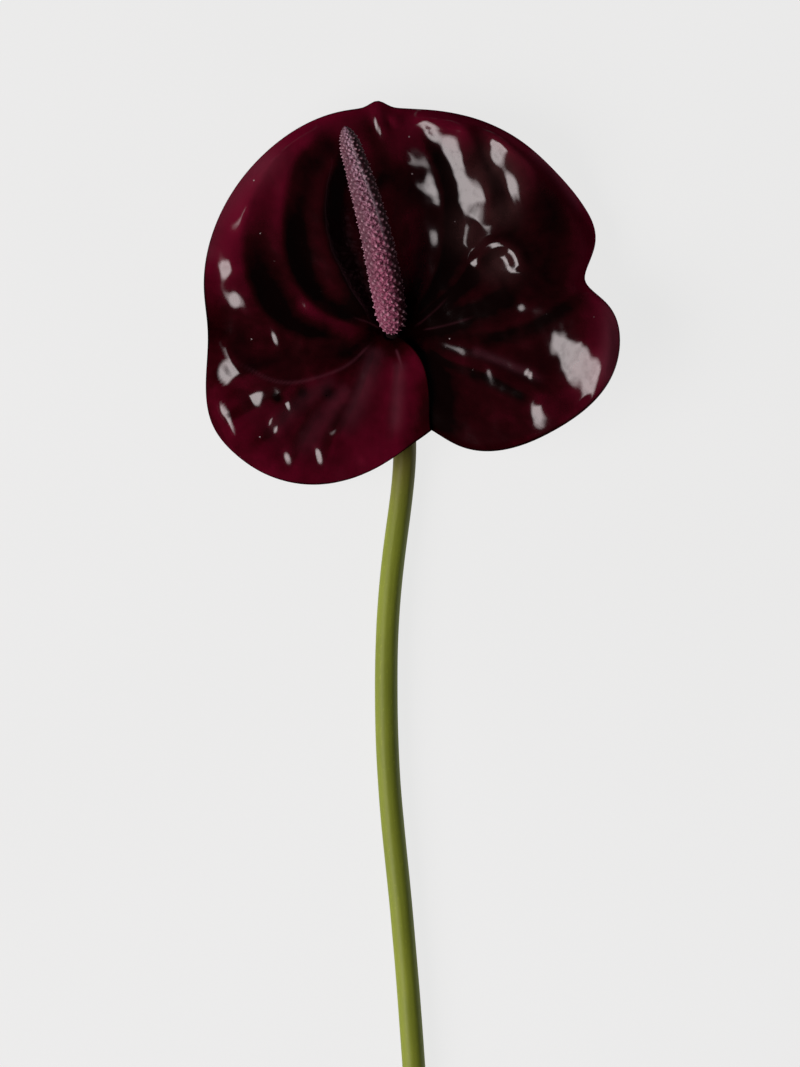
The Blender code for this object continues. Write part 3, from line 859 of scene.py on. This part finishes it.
def glossMark(points, normals, angles, rising, toRim, crown):
    # how glossy each place is: steep places, the heart, the rim and the left margin's roll are dull
    shape = spatheShape
    x, y = points[..., 0], points[..., 1]
    slopes = normals[..., :2] / np.abs(normals[..., 2:])
    gloss = smoothStep(*shape["dullSlope"], np.hypot(slopes[..., 0], slopes[..., 1]))
    gloss = gloss * smoothStep(*shape["sideSlope"], slopes @ np.array(shape["dullSide"]))
    gloss = gloss * smoothStep(*shape["dullHeart"], np.hypot(x, y))
    rim = smoothStep(*shape["dullRim"], toRim / smoothBorder(angles))
    rolled = smoothStep(*shape["rolledSlope"], rising) * smoothStep(*shape["rolledAngles"], angles)
    dull = np.maximum(shape["rimDull"] * rim, rolled)
    gloss = gloss * (1 - dull * smoothStep(*shape["crownGloss"], crown))
    soft = smoothStep(*shape["softX"], x) * smoothStep(*shape["softY"], y)
    return gloss * (1 - shape["softDull"] * soft)


def veinAndSheenMark(flat):
    # pale veins, and painted highlights and sheen along lines
    vein = np.zeros(flat.shape[:-1])
    for width, strength, line in spatheShape["veinsAndSheen"]:
        away, along = nearLine(flat, curveThrough(line, 30))
        ends = smoothStep(0, 0.1, along) * smoothStep(1, 0.7, along)
        vein = np.maximum(vein, strength * ends * np.exp(-(away / width) ** 2))
    return vein


def bladeSurface():
    # the blade's two faces as grids, and what the paint needs to know about each place
    shape = spatheShape
    angles, shares = bladeGrid()
    points = bladePoints(angles, shares)
    toRim, toEdge = edgeDistance(points)
    normals = gridNormals(points)
    # how steeply the smooth blade rises towards the side of the swells
    turn = shape["swellTurn"]
    rising = -(normals[..., 0] * math.cos(turn) + normals[..., 1] * math.sin(turn)) / normals[..., 2]
    calm = smoothStep(0, 1, toRim / smoothBorder(angles))
    folds, flank = foldRelief(points[..., :2])
    swells, crown = swellRelief(points[..., :2])
    lumps = sum(height * cloud(points, size, seed) for size, seed, height in shape["lumps"])
    relief = (folds + swells + lumps) * calm
    offset = normals * relief[..., None]
    offset[..., :2] *= smoothStep(*shape["straightUp"], toRim)[..., None]
    points = points + offset
    normals = gridNormals(points)
    half = shape["thickness"] / 2
    inside = np.clip(toEdge / half, 0, 1)
    half = half * np.sqrt(1 - (1 - inside) ** 2)      # the edge is half round
    top = points + normals * half[..., None]
    under = points - normals * half[..., None]
    flat = points[..., :2]
    marks = {
        "redness": redMark(points, angles, toEdge, relief, flank * calm),
        "bloom": np.max([spot(flat, size, centre) for size, centre in shape["reflectionHazes"]], axis=0),
        "vein": veinAndSheenMark(flat),
        "gloss": glossMark(points, normals, angles, rising, toRim, crown),
    }
    return top, under, marks


def buildSpathe():
    top, under, marks = bladeSurface()
    rows, columns = top.shape[:2]
    index = np.arange(rows * columns).reshape(rows, columns)
    inner = np.zeros((rows, columns), bool)
    inner[1:-1, 1:-1] = True
    underIndex = index.copy()         # both faces share the points along the edge
    underIndex[inner] = rows * columns + np.arange(inner.sum())
    faces = []
    for grid, flip in ((index, False), (underIndex, True)):
        a, b, c, d = grid[:-1, :-1], grid[1:, :-1], grid[1:, 1:], grid[:-1, 1:]
        order = (d, c, b, a) if flip else (a, b, c, d)
        faces += np.stack(order, axis=-1).reshape(-1, 4).tolist()
    allPoints = np.concatenate([top.reshape(-1, 3), under[inner]])
    allMarks = {}
    for name, values in marks.items():
        allMarks[name] = np.concatenate([values.ravel(), values[inner]])
    allMarks["gloss"][rows * columns:] = 0
    allMarks["grain"] = allPoints
    allMarks["top"] = np.concatenate([np.ones(rows * columns), np.zeros(inner.sum())])
    piece = meshPiece("spatheBlade", allPoints, faces, spathePaint(), allMarks)
    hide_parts("spathe")
    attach(piece, "root")
    print("spathe made:", len(faces), "faces")


# the spadix

spadixShape = {
    "path": (
        (-0.5, 5.5, 13.4),
        (-2.9, 19.0, 20.4),
        (-6.2, 33.5, 26.0),
        (-10.2, 47.2, 30.4),
        (-13.8, 59.2, 33.8),
    ),
    "seat": 1.2,                  # from the node to its base
    "lengthShare": (0.0, 0.05, 0.12, 0.3, 0.5, 0.7, 0.85, 0.94, 1.0),
    "radius": (1.8, 3.5, 4.3, 4.4, 4.2, 3.7, 3.1, 2.3, 1.0),
    "endRound": (1.6, 2.4),       # length of the rounding at its base and at its tip
    "rings": 400,
    "baseRings": (0.001, 0.003, 0.006),      # closer rings at both ends, as shares of its length
    "tipRings": (0.992, 0.996, 0.9985, 0.9997),
    "around": 11,                 # florets round it
    "rowPitch": 1.35,             # mm between rows at full width
    "rowThinning": 0.7,           # how much closer the rows get where it is thinner
    "thinnest": 1.2,              # but no closer than at this radius
    "pointsAcross": 15,           # points round each floret
    "pillow": 0.2,                # how far a floret bulges, and the bead on it stands out
    "bead": 0.62,
    "beadWidth": 0.29,
    "wander": 0.32,               # how far a bead may sit from the middle of its floret
    "bumpy": 2.5,                 # where its radius is less than this the bumps get lower
    "rough": (0.8, 9, 0.16),      # the wrinkles over all of it: size, seed, height
    # a pale seam along it: share of its length, and degrees from the top towards the right
    "seam": ((0.2, 30), (0.4, 36), (0.65, 31), (0.81, 19), (0.92, 12), (1.0, 30)),
    "seamWidth": 0.34,
    "seamStrength": 0.95,
    "seamStart": (0.4, 0.62),     # it comes and goes over these shares of the length
    "seamEnd": (0.99, 0.94),
    "shade": (-4, 18),            # degrees past the seam over which painted shade darkens its right side
    "flank": (-2, -45),           # degrees from the top over which painted shade greys its left side
    "flankGrey": (0.3, 0.95),     # how much so, at the base and from the middle on
    "patchy": (2.5, 4, 10),       # how those two borders wander: size, seed, degrees
}


def spadixPaint():
    colours = {
        # painted shade in the creases between florets, and a random darker lace
        "crease": (0.070, 0.012, 0.027),
        "low": (0.310, 0.080, 0.145),
        "tip": (0.310, 0.195, 0.255),
        "flank": (0.085, 0.042, 0.055),      # painted shade, greyer down the side that faces away on the left
        "shade": (0.060, 0.008, 0.018),      # painted shade down the right side, darker still at the tip
        "tipShade": (0.032, 0.003, 0.008),
        # painted highlight: the beads' tips paler, as if catching the light
        "bead": (0.52, 0.30, 0.36),
        "seam": (0.44, 0.29, 0.35),
    }
    paint = Paint(bpy.data.materials.new("spadixFlorets"))
    grain = paint.named("grain", "Vector")
    fine = paint.grain(grain, 1.4, 3, 0.6)
    patchy = paint.grain(grain, 0.35, 3, 0.6)
    along = (paint.named("along") + patchy * 0.6 - 0.3).clipped()
    body = paint.blend(along, colours["low"], colours["tip"])
    # painted shade down the left side
    body = paint.blend(paint.named("flank"), body, colours["flank"])
    cells = {"feature": "DISTANCE_TO_EDGE"}
    lace = paint.add("ShaderNodeTexVoronoi", cells, {"Vector": grain, "Scale": 1.0})
    lace = paint.ramp(lace, (0.0, 0), (0.16, 1))
    # painted shade between the florets, mixed with a random lacy texture
    tone = (paint.named("pillow") * 0.5 + fine * 3.0 + lace * 0.9 - 1.85).clipped()
    body = paint.blend(tone, colours["crease"], body)
    # painted shade down the right side
    dark = paint.blend((along * 3).clipped(), colours["shade"], colours["tipShade"])
    body = paint.blend(paint.named("shade"), body, dark)
    # painted highlight on the beads
    body = paint.blend((paint.named("bead") * (0.5 + patchy)).clipped(), body, colours["bead"])
    body = paint.blend(paint.named("seam"), body, colours["seam"])
    return paint.finish({
        "Base Color": body,
        "Roughness": 0.42 + fine * 0.25,
        "Specular IOR Level": 0.12,
        "Normal": paint.bump(fine + lace * 0.5, 0.0002, 0.7),
    })


def floretRelief(rowPlace, radii, sides):
    # how far each point bulges with its floret, and how much it belongs to the floret's bead
    shape = spadixShape
    turn = np.arange(sides) / shape["pointsAcross"]        # in florets
    pillow = np.full((len(rowPlace), sides), -1.0)
    bead = np.zeros((len(rowPlace), sides))
    chance = np.random.default_rng(11).random((int(rowPlace[-1]) + 6, shape["around"], 4))
    width = 2 * math.pi * np.maximum(radii, 0.8)[:, None] / shape["around"]
    for step in (-2, -1, 0, 1, 2):
        row = np.floor(rowPlace).astype(int) + step
        shift = turn[None] - 0.5 * (row % 2)[:, None] + 0.5      # every second row is half a floret on
        pick = chance[row[:, None] + 2, np.floor(shift).astype(int) % shape["around"]]
        big, right, up, wide = (pick[..., i] for i in range(4))
        dx, dy = shift % 1.0 - 0.5, (rowPlace - row)[:, None]
        pillow = np.maximum(pillow, (1 - np.abs(dx) / 0.5 - np.abs(dy)) * (0.8 + 0.4 * big))
        across = dx * width + shape["wander"] * (2 * right - 1)
        down = dy * shape["rowPitch"] + shape["wander"] * (2 * up - 1)
        size = shape["beadWidth"] * (0.75 + 0.5 * wide)
        drop = np.exp(-(across ** 2 + down ** 2) / size ** 2)
        bead = np.maximum(bead, (0.55 + 0.45 * big) * drop)
    return np.sqrt(np.clip(pillow * 1.6, 0, 1)), bead


def spadixTube():
    # the line it grows along and, for each ring: share of the length, length, place and radius
    shape = spadixShape
    climb = spatheShape["nodeClimb"]
    seat = shape["seat"] * np.array([0, math.cos(climb), math.sin(climb)])
    seat = seat + (0, 0, stemShape["nodeHeight"])
    line = curveThrough([seat, *shape["path"]], 2000)
    lengths = runningLength(line)
    middle = np.linspace(0, 1, shape["rings"])[4:-4]
    shares = np.concatenate([shape["baseRings"], middle, shape["tipRings"]])
    run = shares * lengths[-1]
    centres = np.stack([np.interp(run, lengths, column) for column in line.T], axis=-1)
    baseRound, tipRound = shape["endRound"]
    fromEnd = np.minimum(run / baseRound, (1 - shares) * lengths[-1] / tipRound)
    rounded = np.sqrt(1 - (1 - np.clip(fromEnd, 0, 1)) ** 2)
    radii = spline(shape["lengthShare"], shape["radius"], shares) * rounded
    return line, shares, run, centres, radii


def seamMark(shares, radii, lean):
    # degrees past the seam, and how much each place belongs to it
    shape = spadixShape
    seamPlace, seamLean = np.array(shape["seam"], float).T
    pastSeam = lean - np.interp(shares, seamPlace, seamLean)[:, None]
    seam = np.exp(-(np.radians(pastSeam) * radii[:, None] / shape["seamWidth"]) ** 2)
    seam = shape["seamStrength"] * seam * smoothStep(*shape["seamStart"], shares)[:, None]
    return pastSeam, seam * smoothStep(*shape["seamEnd"], shares)[:, None]


def sideMarks(rings, shares, pastSeam, lean):
    # painted shade: how dark it is down its right side, and how grey down its left
    shape = spadixShape
    size, seed, degrees = shape["patchy"]
    wander = cloud(rings, size, seed) * degrees
    dark = smoothStep(*shape["shade"], pastSeam + wander)
    atBase, beyond = shape["flankGrey"]
    grey = atBase + (beyond - atBase) * smoothStep(0.1, 0.5, shares)
    return dark, smoothStep(*shape["flank"], lean + wander) * grey[:, None]


def buildSpadix():
    shape = spadixShape
    line, shares, run, centres, radii = spadixTube()
    sides = shape["around"] * shape["pointsAcross"]
    thin = np.maximum(radii, shape["thinnest"]) / max(shape["radius"])
    pitch = shape["rowPitch"] * thin ** shape["rowThinning"]
    pillow, bead = floretRelief(np.cumsum(np.gradient(run) / pitch), radii, sides)
    outward = unit(tubeRings(centres, radii, sides) - centres[:, None])
    lean = np.degrees(np.arctan2(outward[..., 0], outward[..., 2]))
    pastSeam, seam = seamMark(shares, radii, lean)
    bead = bead * (1 - seam)
    pillow = np.maximum(pillow, seam)

    calm = np.clip(radii / shape["bumpy"], 0, 1)[:, None]
    low = np.maximum(radii[:, None] - shape["pillow"] * 0.6, 0.02)
    heights = low + calm * (shape["pillow"] * pillow + shape["bead"] * bead)
    rings = tubeRings(centres, heights, sides)
    size, seed, height = shape["rough"]
    rough = calm * height * cloud(rings, size, seed)
    rings = rings + unit(rings - centres[:, None]) * rough[..., None]
    points = np.concatenate([rings.reshape(-1, 3), [line[0], line[-1]]])

    dark, grey = sideMarks(rings, shares, pastSeam, lean)
    marks = {
        "grain": points,
        "pillow": np.concatenate([pillow.ravel(), [1, 1]]),
        "bead": np.concatenate([(bead * calm).ravel(), [0, 0]]),
        "along": np.concatenate([np.repeat(smoothStep(0.25, 1.0, shares), sides), [0, 1]]),
        "shade": np.concatenate([dark.ravel(), [1, 0]]),
        "flank": np.concatenate([grey.ravel(), [0, 0]]),
        "seam": np.concatenate([seam.ravel(), [0, 0]]),
    }
    faces = tubeFaces(len(rings), sides)
    piece = meshPiece("spadixFlorets", points, faces, spadixPaint(), marks)
    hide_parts("spadix")
    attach(piece, "root")
    print("spadix made:", len(faces), "faces")


# table, light and camera

studio = {
    "middle": (2.0, -57.4),       # what the camera looks down on
    "frameHeight": 310.0,         # how much of the table it sees from top to bottom
    "cameraHeight": 2.2,          # metres, like the distances below
    "keyAngle": 53.0,             # how far the soft box is from straight above
    "keyTurn": 202.0,             # the side it is on, anticlockwise from +x
    "keyAim": 0.05,               # its aim, beyond the middle towards the bloom
    "keyDistance": 2.0,
    "keySize": (1.8, 1.2),
    "keySpread": (-0.28, 0.0, 0.28),   # boxes smaller and larger than that one soften its edge
    "keyStep": 0.1,               # share of the spread by which they stand apart
    "keyPower": 26.0,             # per square metre
    "keyColour": (1.0, 0.92, 0.925),
    "floorWidth": 24.0,
    "floorGlow": 0.975,
    "roomTones": ((0.09, 0.8), (0.12, 0.012)),   # how high up the band ends, and its two tones
}


def placeCamera(x, y):
    camera = bpy.data.objects.new("camera", bpy.data.cameras.new("camera"))
    high = studio["cameraHeight"]
    camera.location = (x, y, high)
    camera.data.lens = camera.data.sensor_width * high / (studio["frameHeight"] * mm)
    bpy.context.collection.objects.link(camera)
    bpy.context.scene.camera = camera


def placeLight(x, y):
    # the soft box, as boxes nested one in the other
    angle, turn = math.radians(studio["keyAngle"]), math.radians(studio["keyTurn"])
    level = math.sin(angle)
    aim = Vector((level * math.cos(turn), level * math.sin(turn), math.cos(angle)))
    centre = Vector((x, y + studio["keyAim"], 0))
    power = studio["keyPower"] / len(studio["keySpread"])
    for spread in studio["keySpread"]:
        key = bpy.data.objects.new("softBox", bpy.data.lights.new("softBox", "AREA"))
        key.data.shape = "RECTANGLE"
        key.data.size, key.data.size_y = (size + spread for size in studio["keySize"])
        key.data.color = studio["keyColour"]
        key.data.energy = power * key.data.size * key.data.size_y
        key.location = centre + aim * (studio["keyDistance"] + studio["keyStep"] * spread)
        key.rotation_mode = "QUATERNION"
        key.rotation_quaternion = aim.to_track_quat("Z", "Y")
        bpy.context.collection.objects.link(key)


def tablePaint():
    paint = Paint(bpy.data.materials.new("tablePaper"))
    where = paint.add("ShaderNodeNewGeometry", {}, {}, "Position")
    soft = paint.grain(where, 3.0, 3, 0.6)
    glow = paint.blend(soft, (0.78, 0.78, 0.775), (0.82, 0.82, 0.82))
    matt = paint.blend(soft, (0.062, 0.062, 0.062), (0.066, 0.066, 0.066))
    fibre = paint.grain(where, 900.0, 3, 0.7)
    return paint.finish({
        "Base Color": matt,
        "Roughness": 0.9,
        "Specular IOR Level": 0.1,
        "Emission Color": glow,
        "Emission Strength": studio["floorGlow"],
        "Normal": paint.bump(fibre, 0.0001, 0.3),
    })


def layTable(x, y):
    bpy.ops.mesh.primitive_plane_add(size=studio["floorWidth"], location=(x, y, 0))
    floor = bpy.context.object
    floor.name = "table"
    floor.data.materials.append(tablePaint())


def paintRoom():
    # a dark room with a pale band low all round it
    room = Paint(bpy.data.worlds.new("studio"))
    around = room.add("ShaderNodeTexCoord", {}, {}, "Generated")
    level = room.add("ShaderNodeSeparateXYZ", {}, {0: around}, "Z")
    tone = room.ramp(level, *studio["roomTones"])
    back = room.add("ShaderNodeBackground", {}, {"Color": tone})
    room.add("ShaderNodeOutputWorld", {}, {"Surface": back})
    bpy.context.scene.world = room.owner


def buildStudio():
    x, y = home[:2] + np.array(studio["middle"]) * mm
    placeCamera(x, y)
    placeLight(x, y)
    layTable(x, y)
    paintRoom()
    bpy.context.scene.view_settings.view_transform = "Standard"
    print("studio made")


buildStudio()
buildStem()
buildSpathe()
buildSpadix()
